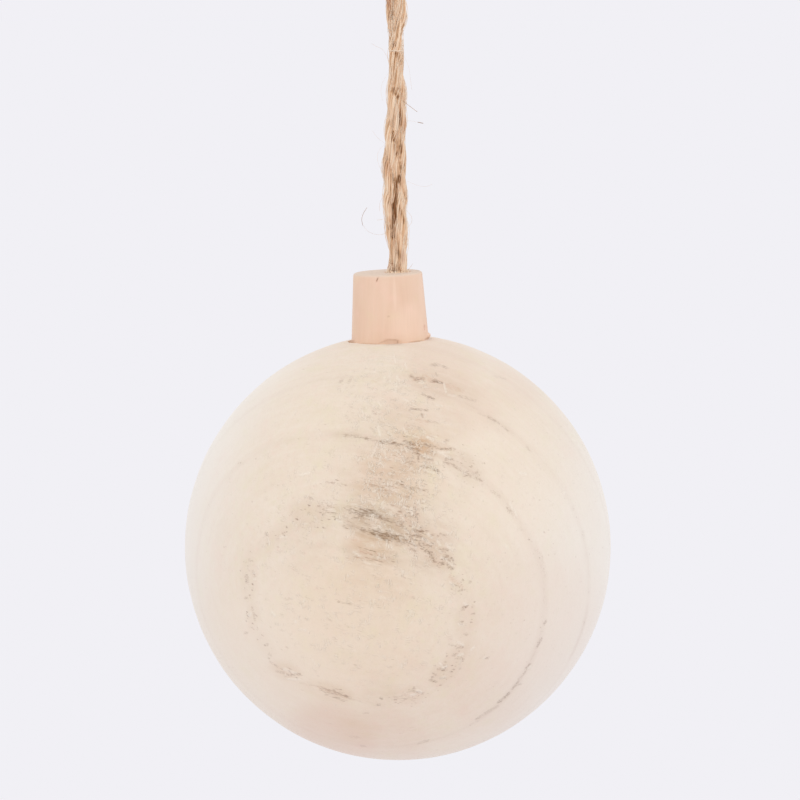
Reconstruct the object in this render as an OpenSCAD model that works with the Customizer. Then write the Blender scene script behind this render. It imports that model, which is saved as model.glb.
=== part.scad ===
// Hanging wooden ball. A solid turned ball has a small flat at its top, where a tapered
// wooden cap is glued in by its spigot. A doubled twine comes up through a hole in the cap,
// its two legs wind about each other, and they open into an eye that hangs on a hook.
// A knot under the spigot holds the twine.
//
// Units are millimetres and +Z is up. The front faces -Y. The origin is the inner top of
// the eye, where the part hangs. The hole is off the cap's axis, so the part hangs with a
// slight lean: the middle of the ball comes to rest straight below the hole's mouth.

/* [Ball] */
// Diameter of the turned ball
ball_d = 80; // [50:1:120]
// Width of the flat ring that shows around the foot of the cap
seat_margin = 0.8; // [0.2:0.1:2]

/* [Cap] */
// Height of the cap above the ball's flat
cap_h = 12.7; // [8:0.1:20]
// Diameter of the cap at its foot
cap_foot_d = 14.4; // [13.6:0.1:18]
// Diameter of the cap at its top, before the rim is rounded
cap_top_d = 12.8; // [11.6:0.1:18]
// Radius of the cap's rounded top rim
cap_rim_r = 0.5; // [0.2:0.1:1]
// Width of the ledge around the spigot that sits on the ball
cap_ledge = 1.2; // [0.6:0.1:1.5]
// Length of the spigot below the foot
spigot_l = 9; // [6:0.5:14]
// Bevel that leads the spigot into its socket
spigot_bevel = 0.6; // [0.2:0.1:1]

/* [Cord hole] */
// Distance of the cord hole from the cap's axis
hole_offset = 1.9; // [0:0.1:2.2]
// Bevel around the hole's mouth
mouth_bevel = 0.4; // [0.1:0.1:0.6]

/* [Cord] */
// Diameter of the twine
cord_d = 2.2; // [1.6:0.1:2.4]
// Gap between the two legs of the doubled twine
leg_gap = 0.2; // [0.1:0.05:0.4]

/* [Knot] */
// Turns of twine stacked in the stopper knot
knot_turns = 3; // [2:1:5]
// Height of one turn, a little under the twine's diameter because the knot is pulled tight
turn_h = 1.9; // [1.4:0.1:2.4]
// Length of the two cut ends below the knot
tail_l = 4; // [2:0.5:8]

/* [Fits] */
// Glue gap between the spigot and its socket, on the radius
glue_gap = 0.1; // [0.05:0.05:0.3]
// Clearance of the doubled twine in its hole, on the radius
hole_clearance = 0.1; // [0.05:0.05:0.3]
// Clearance between the knot and the socket's wall
knot_clearance = 0.2; // [0.1:0.1:0.5]
// Depth left free between the cut ends and the socket's floor
socket_spare = 1; // [0.5:0.5:5]
// Point angle of the drill that makes the socket
drill_angle = 118; // [90:1:140]

/* [Hidden] */
$fn = 96;

// Cord hole and legs, from the twine
leg_pitch = cord_d + leg_gap;
hole_d = leg_pitch + cord_d + 2 * hole_clearance;

// Spigot and socket, from the cap's foot
spigot_d = cap_foot_d - 2 * cap_ledge;
socket_d = spigot_d + 2 * glue_gap;
seat_d = cap_foot_d + 2 * seat_margin;
seat_h = sqrt(pow(ball_d / 2, 2) - pow(seat_d / 2, 2));

// Knot, from the room that the socket leaves beside the off-centre hole
knot_d = socket_d - 2 * hole_offset - 2 * knot_clearance;
knot_h = (knot_turns - 1) * turn_h + cord_d;
socket_depth = spigot_l + knot_h + tail_l + socket_spare;

// Heights from the plane of the cap's top, which the hole's mouth lies in
spigot_end_z = -cap_h - spigot_l;
ball_z = -cap_h - seat_h;

// The lean that brings the ball's centre straight below the hole's mouth
lean = atan(hole_offset / -ball_z);

// Route of the twine's first leg, by heights above the hole's mouth: inside the cap,
BORE_LEG = [-12, -4];
// then where it winds about the other leg, with its direction from the pair's middle and how
// far to the right the pair has drifted,
WOUND_LEG = [
    [0, -56, 0], [5, -47, 0], [10, -20, -0.45], [15, -3, -0.45], [20, 10, -0.6],
    [25, 36, -0.45], [30, 50, -0.2], [35, 65, -0.25], [41, 84, -0.35], [44, 102, -0.35],
    [47, 126, -0.3], [51, 142, -0.35], [57, 160, -0.3]
];
// then as points of the eye, measured from the pair's middle, up to the eye's top
EYE_LEG = [[-2.1, 0.5, 62], [-3.9, 0.2, 66.5], [-5, 0, 71], [-3.5, 0, 74.6]];
EYE_TOP = [0, 0, 76.1];

// The hole's mouth lies this far below the inner top of the eye
mouth_drop = EYE_TOP.z - cord_d / 2;

// Sides of the cord's tube, and rings along each stretch between two route points
CORD_SIDES = 8;
CORD_STEPS = 2;
// Steps around the quarter round of the cap's rim
RIM_STEPS = 6;
// How far a cut runs past the face that it opens
CUT = 1;

// ---------------------------------------------------------------- placing

// Puts children where the leaning pieces hang. Their own frame has the cap's axis as Z and
// the plane of the cap's top as its floor.
module hung() {
    translate([0, 0, -mouth_drop])
        rotate([0, -lean, 0])
            translate([-hole_offset, 0, 0])
                children();
}

// A point of the hole's own frame, taken to the frame of the hole's mouth with +Z upright
function leaned(p) = [p.x * cos(lean) - p.z * sin(lean), p.y, p.x * sin(lean) + p.z * cos(lean)];

// ---------------------------------------------------------------- ball

// Blind hole with a drill's point, from the flat down
module socket() {
    socket_r = socket_d / 2;
    point_h = socket_r / tan(drill_angle / 2);
    rotate_extrude()
        polygon([
            [0, CUT],
            [socket_r, CUT],
            [socket_r, -socket_depth],
            [0, -socket_depth - point_h],
        ]);
}

// What the flat takes off the top of the sphere
module above_flat() {
    cylinder(d = seat_d + 2 * CUT, h = ball_d / 2 - seat_h + CUT);
}

module ball() {
    color("#EADCCB")
        hung()
            translate([0, 0, -cap_h])
                difference() {
                    translate([0, 0, -seat_h])
                        sphere(d = ball_d);
                    above_flat();
                    socket();
                }
}

// ---------------------------------------------------------------- cap

// Half section of the cap: a tapered wall with a rounded rim, a flat foot and a spigot
module cap_section() {
    foot_r = cap_foot_d / 2;
    spigot_r = spigot_d / 2;
    taper = atan((cap_foot_d - cap_top_d) / 2 / cap_h);
    // Middle of the rim's round, which touches both the top and the tapered wall
    rim_x = foot_r - (cap_rim_r + (cap_h - cap_rim_r) * sin(taper)) / cos(taper);
    rim = [
        for (i = [0:RIM_STEPS])
            let (a = 90 - (90 - taper) * i / RIM_STEPS)
            [rim_x + cap_rim_r * cos(a), cap_rim_r * (sin(a) - 1)]
    ];
    polygon(concat([[0, 0]], rim, [
        [foot_r, -cap_h],
        [spigot_r, -cap_h],
        [spigot_r, spigot_end_z + spigot_bevel],
        [spigot_r - spigot_bevel, spigot_end_z],
        [0, spigot_end_z],
    ]));
}

// Hole for the doubled twine, with a bevel around its mouth
module cord_hole() {
    hole_r = hole_d / 2;
    translate([hole_offset, 0, 0])
        rotate_extrude()
            polygon([
                [0, CUT],
                [hole_r + mouth_bevel + CUT, CUT],
                [hole_r, -mouth_bevel],
                [hole_r, spigot_end_z - CUT],
                [0, spigot_end_z - CUT],
            ]);
}

module cap() {
    color("#F0CEB7")
        hung()
            difference() {
                rotate_extrude()
                    cap_section();
                cord_hole();
            }
}

// ---------------------------------------------------------------- cord

// A point beside the pair's middle, in the given direction
function leg_at(direction, z) =
    [leg_pitch / 2 * cos(direction), leg_pitch / 2 * sin(direction), z];

// A point turned about the pair's middle
function turned(p, turn) =
    [p.x * cos(turn) - p.y * sin(turn), p.x * sin(turn) + p.y * cos(turn), p.z];

// One leg from the spigot's lower end up to the eye. Inside the cap it follows the leaning
// hole. The second leg is the first one turned half round.
function leg(turn) = concat(
    [for (z = concat([spigot_end_z], BORE_LEG)) leaned(leg_at(WOUND_LEG[0][1] + turn, z))],
    [for (p = WOUND_LEG) leg_at(p[1] + turn, p[0]) + [p[2], 0, 0]],
    [for (p = EYE_LEG) turned(p, turn)]
);
function reversed(list) = [for (i = [len(list) - 1:-1:0]) list[i]];
cord_route = concat(leg(0), [EYE_TOP], reversed(leg(180)));

function unit(v) = v / norm(v);

// Direction of the route at its point i. At both ends it runs along the hole.
function heading(i) =
    i == 0 ? leaned([0, 0, 1])
    : i == len(cord_route) - 1 ? leaned([0, 0, -1])
    : unit(cord_route[i + 1] - cord_route[i - 1]);

// Point and slope of a smooth curve between the route points i and i + 1, at t from 0 to 1
function curve_point(i, t) =
    let (a = cord_route[i], b = cord_route[i + 1], s = norm(b - a))
    (2 * t^3 - 3 * t^2 + 1) * a + (t^3 - 2 * t^2 + t) * s * heading(i)
    + (3 * t^2 - 2 * t^3) * b + (t^3 - t^2) * s * heading(i + 1);
function curve_slope(i, t) =
    let (a = cord_route[i], b = cord_route[i + 1], s = norm(b - a))
    unit(6 * (t^2 - t) * a + (3 * t^2 - 4 * t + 1) * s * heading(i)
    + 6 * (t - t^2) * b + (3 * t^2 - 2 * t) * s * heading(i + 1));

// One ring of the tube, square to the slope. The route never runs along Y.
function ring(point, slope) =
    let (side = unit(cross([0, 1, 0], slope)), front = cross(slope, side))
    [for (k = [0:CORD_SIDES - 1])
        point + cord_d / 2 * (cos(360 * k / CORD_SIDES) * side + sin(360 * k / CORD_SIDES) * front)];

// Tube along the whole route, closed by a flat face at each end
module cord_tube() {
    spans = len(cord_route) - 1;
    rings = concat(
        [for (i = [0:spans - 1], k = [0:CORD_STEPS - 1])
            ring(curve_point(i, k / CORD_STEPS), curve_slope(i, k / CORD_STEPS))],
        [ring(cord_route[spans], heading(spans))]
    );
    last = len(rings) - 1;
    sides = [
        for (i = [0:last - 1], k = [0:CORD_SIDES - 1])
            let (a = i * CORD_SIDES + k, b = i * CORD_SIDES + (k + 1) % CORD_SIDES)
            [a, a + CORD_SIDES, b + CORD_SIDES, b]
    ];
    first_end = [for (k = [0:CORD_SIDES - 1]) k];
    last_end = [for (k = [CORD_SIDES - 1:-1:0]) last * CORD_SIDES + k];
    polyhedron(points = [for (r = rings) each r], faces = concat([first_end], sides, [last_end]));
}

module hanging_cord() {
    color("#D2AF89")
        translate([0, 0, -mouth_drop])
            cord_tube();
}

// ---------------------------------------------------------------- knot

// Half section of the knot: stacked turns of twine around a core
module knot_section() {
    turn_x = knot_d / 2 - cord_d / 2;
    translate([0, -knot_h])
        square([turn_x, knot_h]);
    for (i = [0:knot_turns - 1])
        translate([turn_x, -cord_d / 2 - i * turn_h])
            circle(d = cord_d);
}

module stopper_knot() {
    color("#C9A57E")
        hung()
            translate([hole_offset, 0, spigot_end_z]) {
                rotate_extrude()
                    knot_section();
                for (side = [-1, 1])
                    translate([side * leg_pitch / 2, 0, -knot_h - tail_l])
                        cylinder(d = cord_d, h = tail_l + turn_h);
            }
}

ball();
cap();
hanging_cord();
stopper_knot();
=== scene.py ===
import math
import random

import bpy
import numpy as np
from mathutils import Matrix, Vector, noise


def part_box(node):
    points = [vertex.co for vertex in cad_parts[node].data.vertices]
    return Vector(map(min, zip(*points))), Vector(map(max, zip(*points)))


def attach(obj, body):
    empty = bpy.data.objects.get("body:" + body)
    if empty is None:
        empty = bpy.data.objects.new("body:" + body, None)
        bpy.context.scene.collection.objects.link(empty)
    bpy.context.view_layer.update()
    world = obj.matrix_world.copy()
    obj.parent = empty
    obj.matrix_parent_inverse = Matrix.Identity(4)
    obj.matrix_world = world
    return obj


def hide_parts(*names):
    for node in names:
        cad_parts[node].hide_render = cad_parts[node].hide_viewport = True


# The dressed model of a hanging wooden ball: a turned ball of pale ring-porous wood, a
# tapered cap glued into its top, and a doubled jute twine that comes up through the cap.
# Lengths below are in millimetres unless their name says otherwise. Blender gets metres.

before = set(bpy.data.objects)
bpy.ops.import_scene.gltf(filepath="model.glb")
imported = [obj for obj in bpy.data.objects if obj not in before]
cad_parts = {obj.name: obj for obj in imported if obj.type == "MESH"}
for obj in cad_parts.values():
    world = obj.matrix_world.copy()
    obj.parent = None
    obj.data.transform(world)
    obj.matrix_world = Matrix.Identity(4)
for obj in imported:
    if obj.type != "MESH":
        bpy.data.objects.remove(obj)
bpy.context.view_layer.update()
MM = 0.001

# ---------------------------------------------------------------- sizes, as in part.scad

BALL_LOW, BALL_HIGH = (np.array(corner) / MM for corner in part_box("ball"))
BALL_R = (BALL_HIGH[0] - BALL_LOW[0]) / 2
BALL_MIDDLE = np.array([0.0, 0.0, BALL_LOW[2] + BALL_R])

CAP_H = 12.7
CAP_FOOT_D = 14.4
CAP_TOP_D = 12.8
CAP_RIM_R = 0.5
CAP_LEDGE = 1.2
SPIGOT_L = 9.0
SPIGOT_BEVEL = 0.6
SEAT_MARGIN = 0.8
GLUE_GAP = 0.1
HOLE_OFFSET = 1.9
HOLE_CLEARANCE = 0.1
CORD_D = 2.2
LEG_GAP = 0.2
SOCKET_DEPTH = 20.0
DRILL_POINT_H = 3.67

LEG_PITCH = CORD_D + LEG_GAP
HOLE_R = (LEG_PITCH + CORD_D) / 2 + HOLE_CLEARANCE
SPIGOT_R = CAP_FOOT_D / 2 - CAP_LEDGE
SOCKET_R = SPIGOT_R + GLUE_GAP
SEAT_R = CAP_FOOT_D / 2 + SEAT_MARGIN
SEAT_H = math.sqrt(BALL_R**2 - SEAT_R**2)
SPIGOT_END = -CAP_H - SPIGOT_L
LEAN = math.atan(HOLE_OFFSET / (CAP_H + SEAT_H))

# The cord's route from part.scad: heights inside the cap, then heights, directions in degrees
# and drifts to the right where the legs wind about each other, then the points of the eye
BORE_LEG = [-12, -4]
WOUND_LEG = [
    (0, -56, 0),
    (5, -47, 0),
    (10, -20, -0.45),
    (15, -3, -0.45),
    (20, 10, -0.6),
    (25, 36, -0.45),
    (30, 50, -0.2),
    (35, 65, -0.25),
    (41, 84, -0.35),
    (44, 102, -0.35),
    (47, 126, -0.3),
    (51, 142, -0.35),
    (57, 160, -0.3),
]
EYE_LEG = [(-2.1, 0.5, 62), (-3.9, 0.2, 66.5), (-5, 0, 71), (-3.5, 0, 74.6)]
EYE_TOP = (0, 0, 76.1)
MOUTH_DROP = EYE_TOP[2] - CORD_D / 2

# ---------------------------------------------------------------- placing


def leaned(points):
    """Points turned by the lean of the cap's axis, about the hole's mouth."""
    x, y, z = np.asarray(points, float).T
    cos, sin = math.cos(LEAN), math.sin(LEAN)
    return np.stack([x * cos - z * sin, y, x * sin + z * cos], axis=-1)


def hung(points):
    """Points of the leaning frame, with the cap's axis as Z and its top at 0, in the row frame."""
    return leaned(np.asarray(points, float) - (HOLE_OFFSET, 0, 0)) - (0, 0, MOUTH_DROP)


# ---------------------------------------------------------------- camera

FRAME_PX = 800
BALL_RADIUS_PX = 212.9
BALL_RIGHT_PX = -2.16
BALL_DOWN_PX = 146.55
CAMERA_ELEVATION = math.radians(7.4)
CAMERA_DISTANCE = 650.0
SENSOR = 36.0
CLIP_M = (0.01, 200)

# The camera's own directions, which the wood's pattern on the front of the ball is laid by
RIGHT = np.array([1.0, 0.0, 0.0])
UP = np.array([0.0, math.sin(CAMERA_ELEVATION), math.cos(CAMERA_ELEVATION)])
TOWARD = np.array([0.0, -math.cos(CAMERA_ELEVATION), math.sin(CAMERA_ELEVATION)])

FOCAL_PX = BALL_RADIUS_PX / math.tan(math.asin(BALL_R / CAMERA_DISTANCE))
CAMERA_PLACE = (
    BALL_MIDDLE
    + CAMERA_DISTANCE * TOWARD
    - BALL_RIGHT_PX / FOCAL_PX * CAMERA_DISTANCE * RIGHT
    + BALL_DOWN_PX / FOCAL_PX * CAMERA_DISTANCE * UP
)


def make_camera():
    """A long lens, a little above the ball's middle, with the ball low in the frame."""
    camera = bpy.data.objects.new("camera", bpy.data.cameras.new("camera"))
    camera.data.sensor_width = SENSOR
    camera.data.lens = FOCAL_PX * SENSOR / FRAME_PX
    camera.data.clip_start, camera.data.clip_end = CLIP_M
    camera.location = CAMERA_PLACE * MM
    camera.rotation_euler = (math.pi / 2 - CAMERA_ELEVATION, 0, 0)
    bpy.context.scene.collection.objects.link(camera)
    bpy.context.scene.camera = camera


def in_frame(points):
    """The columns and rows of the 800 px frame where points of the row frame are seen."""
    away = points - CAMERA_PLACE
    scale = FOCAL_PX / -(away @ TOWARD)
    return FRAME_PX / 2 + scale * (away @ RIGHT), FRAME_PX / 2 - scale * (away @ UP)


# ---------------------------------------------------------------- colours and nodes


def rgb(red, green, blue):
    """A colour as it shows on screen, from 0 to 255, as Blender's linear colour."""
    parts = [v / 255 for v in (red, green, blue)]
    return tuple(v / 12.92 if v < 0.04 else ((v + 0.055) / 1.055) ** 2.4 for v in parts) + (1.0,)


class Value:
    """What a socket puts out. Sums and products of values are nodes too."""

    def __init__(self, nodes, socket):
        self.nodes, self.socket = nodes, socket

    def __add__(self, other):
        return self.nodes.math("ADD", self, other)

    def __sub__(self, other):
        return self.nodes.math("SUBTRACT", self, other)

    def __mul__(self, other):
        return self.nodes.math("MULTIPLY", self, other)

    def __abs__(self):
        return self.nodes.math("ABSOLUTE", self)

    def beside(self, output):
        """Another output of the same node."""
        return Value(self.nodes, self.socket.node.outputs[output])


class Nodes:
    """The node tree of a material or a world, built one call per node from values and numbers."""

    def __init__(self, owner):
        owner.use_nodes = True
        self.owner, self.tree = owner, owner.node_tree
        self.tree.nodes.clear()

    def add(self, kind, inputs, output=0, **settings):
        """A new node's output. A node that puts out nothing gives None."""
        node = self.tree.nodes.new("ShaderNode" + kind)
        for name, value in settings.items():
            setattr(node, name, value)
        for key, value in inputs.items():
            if isinstance(value, Value):
                self.tree.links.new(value.socket, node.inputs[key])
            else:
                node.inputs[key].default_value = value
        return Value(self, node.outputs[output]) if len(node.outputs) else None

    def math(self, operation, *values):
        return self.add("Math", dict(enumerate(values)), operation=operation)

    def strongest(self, *values):
        total = values[0]
        for value in values[1:]:
            total = self.math("MAXIMUM", total, value)
        return total

    def reaches(self, middle, directions):
        """How far a point of the surface lies from a middle along directions, in millimetres."""
        at = self.add("TexCoord", {}, "Object")
        at = self.add("VectorMath", {0: at, "Scale": 1 / MM}, operation="SCALE")
        at = self.add("VectorMath", {0: at, 1: tuple(middle)}, operation="SUBTRACT")
        dot = {"output": "Value", "operation": "DOT_PRODUCT"}
        return [self.add("VectorMath", {0: at, 1: tuple(d)}, **dot) for d in directions]

    def stretched(self, lengths, values):
        """A vector in which one unit is the given length along each of three values."""
        parts = [value * (1 / length) for value, length in zip(values, lengths)]
        return self.add("CombineXYZ", dict(enumerate(parts)))

    def noise(self, lengths, values, detail=2.0, roughness=0.5, distortion=0.0):
        """Smooth noise about 0, mostly from -0.5 to 0.5, with bumps of the given lengths."""
        inputs = {"Vector": self.stretched(lengths, values), "Scale": 1.0}
        inputs.update({"Detail": detail, "Roughness": roughness, "Distortion": distortion})
        return self.add("TexNoise", inputs) + -0.5

    def cells(self, vector):
        """Distance from the middle of the nearest of many scattered cells, and that cell's draws."""
        distance = self.add("TexVoronoi", {"Vector": vector, "Scale": 1.0}, "Distance")
        draw = self.add("SeparateColor", {0: distance.beside("Color")})
        return distance, draw, draw.beside(1)

    def painted(self, name):
        """A value that the mesh holds at each of its points."""
        return self.add("Attribute", {}, "Fac", attribute_name=name)

    def ragged(self, vector, amount):
        """The vector moved about by fine noise."""
        fine = self.add("TexNoise", {"Vector": vector, "Scale": 2.3, "Detail": 1.0}, "Color")
        shift = self.add("VectorMath", {0: fine, "Scale": amount}, operation="SCALE")
        return self.add("VectorMath", {0: vector, 1: shift}, operation="ADD")

    def rise(self, value, start, end):
        """0 up to start and 1 from end, or the other way round if start is the higher."""
        inputs = {"Value": value, "From Min": start, "From Max": end}
        return self.add("MapRange", inputs, interpolation_type="SMOOTHSTEP")

    def coats(self, colour, *coats):
        """The colour with others laid over it in turn, each with how strongly it covers."""
        for share, shade in coats:
            colour = self.add("Mix", {0: share, 6: colour, 7: shade}, 2, data_type="RGBA")
        return colour

    def ramp(self, value, stops):
        shade = self.add("ValToRGB", {0: value})
        elements = shade.socket.node.color_ramp.elements
        for _ in stops[2:]:
            elements.new(1.0)
        for element, (position, colour) in zip(elements, stops):
            element.position = position
            element.color = colour
        return shade

    def bump(self, height, reach):
        """A bumped normal, from a height of 0 to 1 that stands for reach millimetres."""
        return self.add("Bump", {"Height": height, "Distance": reach * MM, "Strength": 1.0})

    def finish(self, **inputs):
        """Ends the tree in a surface with the given sockets of the Principled shader."""
        named = {key.replace("_", " "): value for key, value in inputs.items()}
        self.add("OutputMaterial", {"Surface": self.add("BsdfPrincipled", named)})
        return self.owner


# ---------------------------------------------------------------- wood of the ball

# The pith lies in front of the ball, low on the left. The rings are rounds about it, and
# the grain runs along it, nearly level.
PITH_LEFT = math.radians(13.24)
PITH_BELOW = math.radians(15.51)
GRAIN_TILT = math.radians(11.24)
PITH_DISTANCE = 3.787 * BALL_R
# How far the first ring lies from the ball's middle, towards the pith. Further out the rings
# count by this many in each millimetre, and a little fewer with distance.
RING_DEPTH = 0.859 * BALL_R
RINGS_PER_MM = 0.0915
RING_WIDENING = 0.0003


def grain_directions():
    """Towards the pith, along the grain and across it, as rows."""
    pith = (
        math.cos(PITH_LEFT) * math.cos(PITH_BELOW) * TOWARD
        - math.sin(PITH_LEFT) * RIGHT
        - math.cos(PITH_LEFT) * math.sin(PITH_BELOW) * UP
    )
    level = RIGHT - np.dot(RIGHT, pith) * pith
    level /= np.linalg.norm(level)
    rising = np.cross(level, pith)
    along = math.cos(GRAIN_TILT) * level + math.sin(GRAIN_TILT) * rising
    return pith, along, np.cross(along, pith)


PITHWARD, ALONG, ACROSS = grain_directions()

# An oval fades out between these shares of its half width, and a stroke over these pixels
OVAL_EDGE = (0.55, 1.45)
STROKE_EDGE_PX = 1.2


def smooth(t):
    """0 below 0, 1 above 1, and a smooth rise between."""
    t = np.clip(t, 0.0, 1.0)
    return t * t * (3 - 2 * t)


def oval_cover(over, under, half_width, half_height, tilt):
    """How far an oval covers points: 1 well inside it and 0 outside. The points lie over to the
    right of its middle and under it, and the tilt turns it clockwise."""
    cos, sin = math.cos(math.radians(tilt)), math.sin(math.radians(tilt))
    along = (over * cos + under * sin) / half_width
    across = (under * cos - over * sin) / half_height
    return smooth((OVAL_EDGE[1] - np.hypot(along, across)) / (OVAL_EDGE[1] - OVAL_EDGE[0]))


def oval_strengths(points, ovals):
    """How strongly soft-edged ovals of the 800 px frame cover points, as the camera sees them."""
    columns, rows = in_frame(points)
    total = np.zeros(len(points))
    for strength, left, top, right, bottom, tilt in ovals:
        over, under = columns - (left + right) / 2, rows - (top + bottom) / 2
        cover = oval_cover(over, under, (right - left) / 2, (bottom - top) / 2, tilt)
        total = np.maximum(total, strength * cover)
    return total


def stroke_strengths(points, strokes):
    """How strongly soft-edged strokes of the 800 px frame cover points, as the camera sees them."""
    seen = np.stack(in_frame(points), axis=1)
    total = np.zeros(len(points))
    for half_width, group in strokes.items():
        for strength, *ends in group:
            start, end = np.array(ends[:2]), np.array(ends[2:])
            run = end - start
            share = np.clip((seen - start) @ run / max(run @ run, 0.01), 0, 1)
            gap = np.linalg.norm(seen - start - share[:, None] * run, axis=1)
            cover = np.clip((half_width + 1 - gap) / STROKE_EDGE_PX, 0, 1)
            total = np.maximum(total, strength * cover)
    return total


# Single marks on the ball, where the photo shows them, in pixels of the 800 px frame.
# Each oval is a strength, its left, top, right and bottom, and its clockwise tilt in degrees
BALL_OVALS = {
    # Where open pores crowd
    "pore_crowd": [
        (0.5, 290, 498, 332, 530, 10), (0.3, 250, 532, 296, 548, -45), (0.32, 241, 550, 257, 606, 0),
        (0.35, 246, 600, 260, 628, 0), (0.2, 258, 626, 272, 664, -25), (0.3, 270, 661, 302, 677, 24),
        (0.3, 320, 685, 352, 699, 18), (0.35, 386, 687, 428, 705, -8), (0.5, 426, 662, 464, 682, -45),
        (0.45, 442, 646, 474, 662, -40), (0.35, 456, 598, 476, 642, 5), (0.3, 444, 576, 470, 594, 45),
        (0.8, 424, 548, 456, 568, 38), (0.85, 403, 527, 440, 553, 34), (0.9, 394, 504, 422, 530, 40),
        (0.45, 404, 437, 436, 459, 25), (0.4, 436, 444, 454, 451, 10), (0.3, 441, 454, 458, 468, 25),
        (0.15, 454, 468, 486, 482, 38), (0.5, 404, 458, 440, 472, 18), (0.18, 360, 470, 432, 505, 10),
    ],
    # Long dark fibres of the stain
    "dark_wisps": [
        (0.95, 343, 505, 388, 519, 9), (0.75, 376, 512, 408, 528, 22), (0.95, 366, 526, 404, 542, 12),
        (0.7, 340, 520, 370, 533, 15), (0.85, 390, 533, 410, 547, 28), (0.8, 350, 548, 396, 564, 9),
        (0.65, 366, 481, 432, 499, 10), (0.5, 322, 477, 356, 487, 5), (0.6, 316, 505, 350, 521, 14),
        (0.75, 402, 438, 436, 456, 20), (0.45, 440, 446, 484, 484, 40), (0.55, 334, 597, 366, 608, 10),
        (0.6, 280, 669, 302, 677, 10), (0.75, 318, 687, 352, 699, 18), (0.5, 386, 687, 428, 703, -8),
        (0.55, 448, 572, 466, 590, 48),
    ],
    # Soft grey-brown clouds of the stain
    "stain": [
        (0.1, 290, 335, 440, 400, 0), (0.05, 230, 360, 330, 460, 0), (1, 334, 502, 408, 526, 12),
        (1.4, 344, 516, 412, 544, 14), (0.58, 346, 476, 416, 512, 10), (0.15, 424, 462, 474, 512, 0),
        (0.18, 426, 400, 470, 440, 20), (0.5, 372, 440, 424, 482, 20), (0.3, 362, 400, 432, 440, 0),
        (0.2, 280, 500, 350, 560, 0), (0.34, 336, 400, 440, 600, 0), (0.68, 340, 542, 408, 570, 8),
        (0.55, 400, 515, 456, 572, 38), (0.35, 330, 432, 404, 446, 9), (0.45, 404, 436, 440, 462, 20),
        (0.38, 440, 452, 486, 480, 40), (0.2, 364, 676, 396, 708, 0), (0.36, 404, 368, 470, 400, 14),
        (0.22, 452, 384, 482, 412, 38), (0.15, 484, 412, 514, 434, 38),
    ],
    # Orange wood, strongest in the spot on the second ring
    "orange": [
        (0.8, 410, 436, 434, 455, 12), (0.3, 392, 428, 448, 462, 12), (0.35, 346, 534, 396, 554, 9),
        (0.22, 352, 478, 420, 504, 9), (0.3, 360, 450, 420, 480, 0), (0.1, 330, 560, 410, 610, 0),
        (0.16, 336, 718, 382, 744, 8), (0.18, 270, 664, 302, 680, 20), (0.18, 300, 682, 356, 700, 14),
    ],
    # Pinker, yellower and paler wood
    "pink": [
        (0.55, 404, 334, 480, 406, 25), (0.45, 440, 380, 500, 430, 38), (0.4, 380, 400, 440, 432, 0),
        (0.95, 286, 706, 386, 766, 18), (0.3, 340, 718, 382, 744, 8), (0.2, 262, 690, 340, 744, 35),
        (0.6, 340, 706, 430, 770, 5), (0.3, 490, 360, 540, 410, 40), (0.3, 430, 400, 480, 440, 30),
        (0.4, 440, 640, 540, 740, -45), (0.2, 340, 650, 560, 770, 0), (0.35, 480, 560, 610, 700, 0),
        (0.3, 350, 440, 420, 500, 10),
    ],
    "yellow": [
        (0.5, 330, 552, 404, 598, 6), (0.45, 285, 545, 430, 700, 0), (0.3, 400, 468, 450, 500, 0),
    ],
    "pale": [
        (0.6, 456, 400, 560, 545, 0), (0.22, 250, 360, 345, 440, 0), (0.95, 195, 580, 330, 730, -45),
    ],
    # Where sanding raised most fibres
    "fuzzy": [
        (1, 350, 400, 450, 560, 8), (0.75, 330, 350, 450, 450, 0), (0.7, 320, 450, 440, 650, 8),
        (0.6, 270, 490, 350, 550, 0), (0.62, 235, 400, 500, 705, 0), (0.5, 420, 560, 480, 690, 0),
        (0.36, 215, 345, 595, 690, 0),
    ],
    # Where the rings' lines are dark
    "dark_ring": [
        (0.45, 452, 666, 572, 694, -52), (0.6, 553, 629, 606, 643, -72), (0.2, 500, 500, 570, 640, 70),
        (0.25, 330, 428, 372, 444, 9), (0.15, 440, 384, 530, 452, 38), (0.25, 436, 450, 520, 520, 40),
    ],
    # Where the rings are pushed towards the pith
    "ring_push": [
        (0.9, 300, 405, 440, 475, 5),
    ],
    # Glue below the cap's foot
    "glue": [
        (0.6, 384, 342.5, 402, 345.5, 0), (0.5, 420, 336.5, 433, 340.5, -8),
    ],
}
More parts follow.
